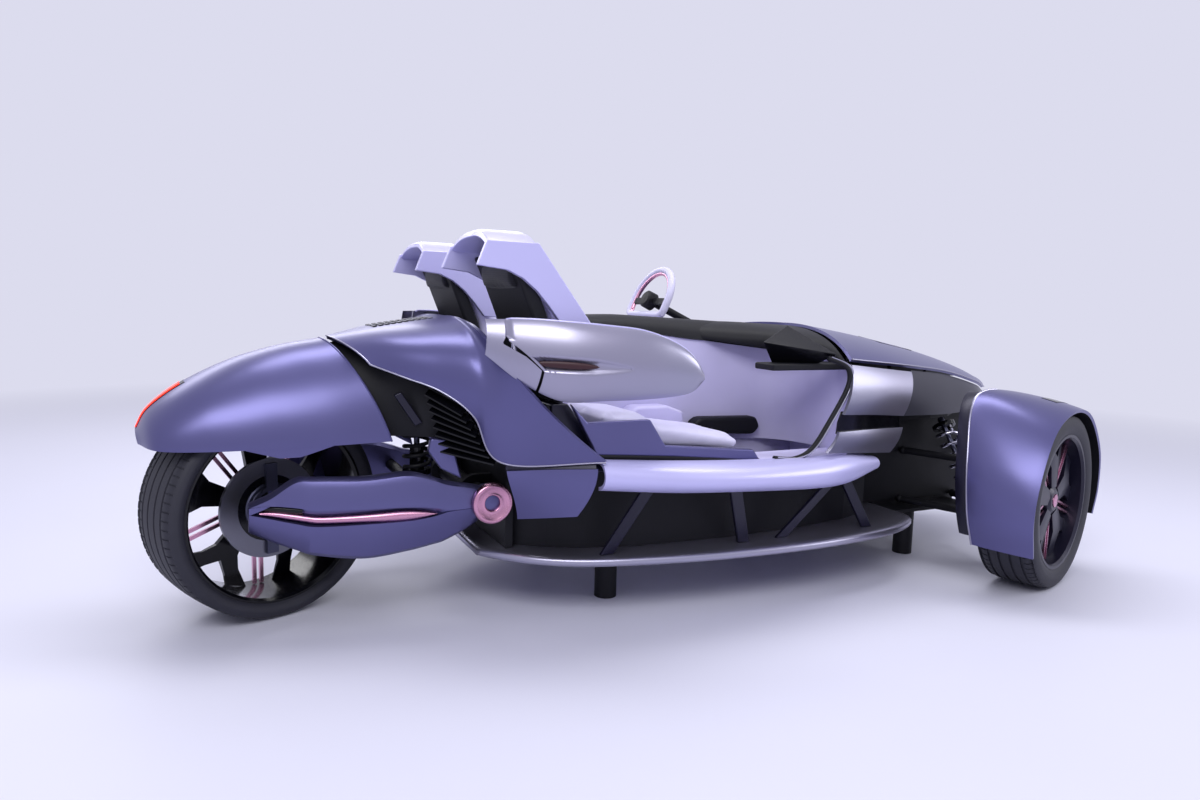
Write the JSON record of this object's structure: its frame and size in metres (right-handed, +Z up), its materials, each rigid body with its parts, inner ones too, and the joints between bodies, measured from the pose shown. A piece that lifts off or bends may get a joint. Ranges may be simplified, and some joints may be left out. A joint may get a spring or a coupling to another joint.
{
  "type": "three-wheeled car",
  "caption": "Low open three-wheeled car with steered front wheels under cycle fenders, a steered rear wheel on a swing arm, side doors and side-by-side seats, on display posts.",
  "frame": {"origin": "on the ground under the middle of the car's length and width", "axes": "+X forward, +Y to the car's left, +Z up"},
  "size_m": [3.6224, 2.0757, 1.266],
  "materials": {
    "body_paint": "satin metallic violet grey",
    "satin_silver": "satin silver",
    "pale_trim": "satin white",
    "rose_metal": "satin rose gold",
    "pale_leather": "fine grain",
    "red_lamp": "clear red",
    "bare_metal": "machined",
    "dark_rim": "gloss black",
    "tyre_rubber": "matt",
    "black_composite": "satin black"
  },
  "bodies": {
    "chassis": {"floor_blade": "satin_silver", "display_posts": "black_composite", "lower_tub": "black_composite", "battery": "black_composite", "spine": "pale_trim", "sill_blades": "pale_trim", "belly_struts": "black_composite", "rear_bulkhead": "black_composite", "rear_deck": "body_paint", "lower_side_panels": "body_paint", "side_louvres": "black_composite", "tail_frame": "black_composite", "tail_cowl": "body_paint", "tail_lamp": "red_lamp", "swing_arm": "body_paint", "pivot_rings": "rose_metal", "arm_inlays": "rose_metal", "rear_shock": "bare_metal", "seat_bases": "body_paint", "seat_cushions": "pale_leather", "seat_backs": "black_composite", "headrest_hoops": "pale_trim", "nose_frame": "black_composite", "hood": "body_paint", "front_side_panels": "satin_silver", "dash": "black_composite", "wind_visors": "black_composite", "front_arms": "black_composite", "front_shocks": "bare_metal", "steering_rack": "black_composite", "steering_column": "black_composite"},
    "steering_wheel": {"steering_wheel": "pale_trim"},
    "door_left": {"door_left": "satin_silver"},
    "door_right": {"door_right": "satin_silver"},
    "knuckle_left": {"knuckle_left": "bare_metal", "fender_left": "body_paint"},
    "knuckle_right": {"knuckle_right": "bare_metal", "fender_right": "body_paint"},
    "front_wheel_left": {"front_rim_left": "dark_rim", "front_tyre_left": "tyre_rubber"},
    "front_wheel_right": {"front_rim_right": "dark_rim", "front_tyre_right": "tyre_rubber"},
    "rear_hub": {"rear_carrier": "bare_metal"},
    "rear_wheel": {"rear_rim": "dark_rim", "rear_tyre": "tyre_rubber"}
  },
  "joints": [
    {"name": "front_steer", "type": "hinge", "parent": "chassis", "child": "knuckle_left", "pos_m": [1.29194, 0.764, 0.338], "axis": [0, 0, 1], "range_deg": [-48, 12]},
    {"name": "front_steer_right", "type": "hinge", "parent": "chassis", "child": "knuckle_right", "pos_m": [1.29194, -0.764, 0.338], "axis": [0, 0, 1], "range_deg": [-48, 12]},
    {"name": "steering_wheel_turn", "type": "hinge", "parent": "chassis", "child": "steering_wheel", "pos_m": [0.21094, 0.37, 1.062], "axis": [-0.9135, 0, 0.4067], "range_deg": [-144, 36]},
    {"name": "rear_steer", "type": "hinge", "parent": "chassis", "child": "rear_hub", "pos_m": [-1.44406, 0, 0.353], "axis": [0, 0, 1], "range_deg": [-46, 2]},
    {"name": "front_left_spin", "type": "hinge", "parent": "knuckle_left", "child": "front_wheel_left", "pos_m": [1.27803, 0.8068, 0.338], "axis": [-0.309, 0.9511, 0], "continuous": true},
    {"name": "front_right_spin", "type": "hinge", "parent": "knuckle_right", "child": "front_wheel_right", "pos_m": [1.30584, -0.8068, 0.338], "axis": [-0.309, 0.9511, 0], "continuous": true},
    {"name": "rear_spin", "type": "hinge", "parent": "rear_hub", "child": "rear_wheel", "pos_m": [-1.44406, 0, 0.353], "axis": [-0.3746, 0.9272, 0], "continuous": true},
    {"name": "door_left_swing", "type": "hinge", "parent": "chassis", "child": "door_left", "pos_m": [-0.78706, 0.586, 0.93], "axis": [0, 0, 1], "range_deg": [0, 55]},
    {"name": "door_right_swing", "type": "hinge", "parent": "chassis", "child": "door_right", "pos_m": [-0.78706, -0.586, 0.93], "axis": [0, 0, -1], "range_deg": [0, 55]}
  ],
  "couplings": [
    {"joint": "front_steer_right", "follows": "front_steer", "ratio": 1},
    {"joint": "steering_wheel_turn", "follows": "front_steer", "ratio": 3}
  ]
}
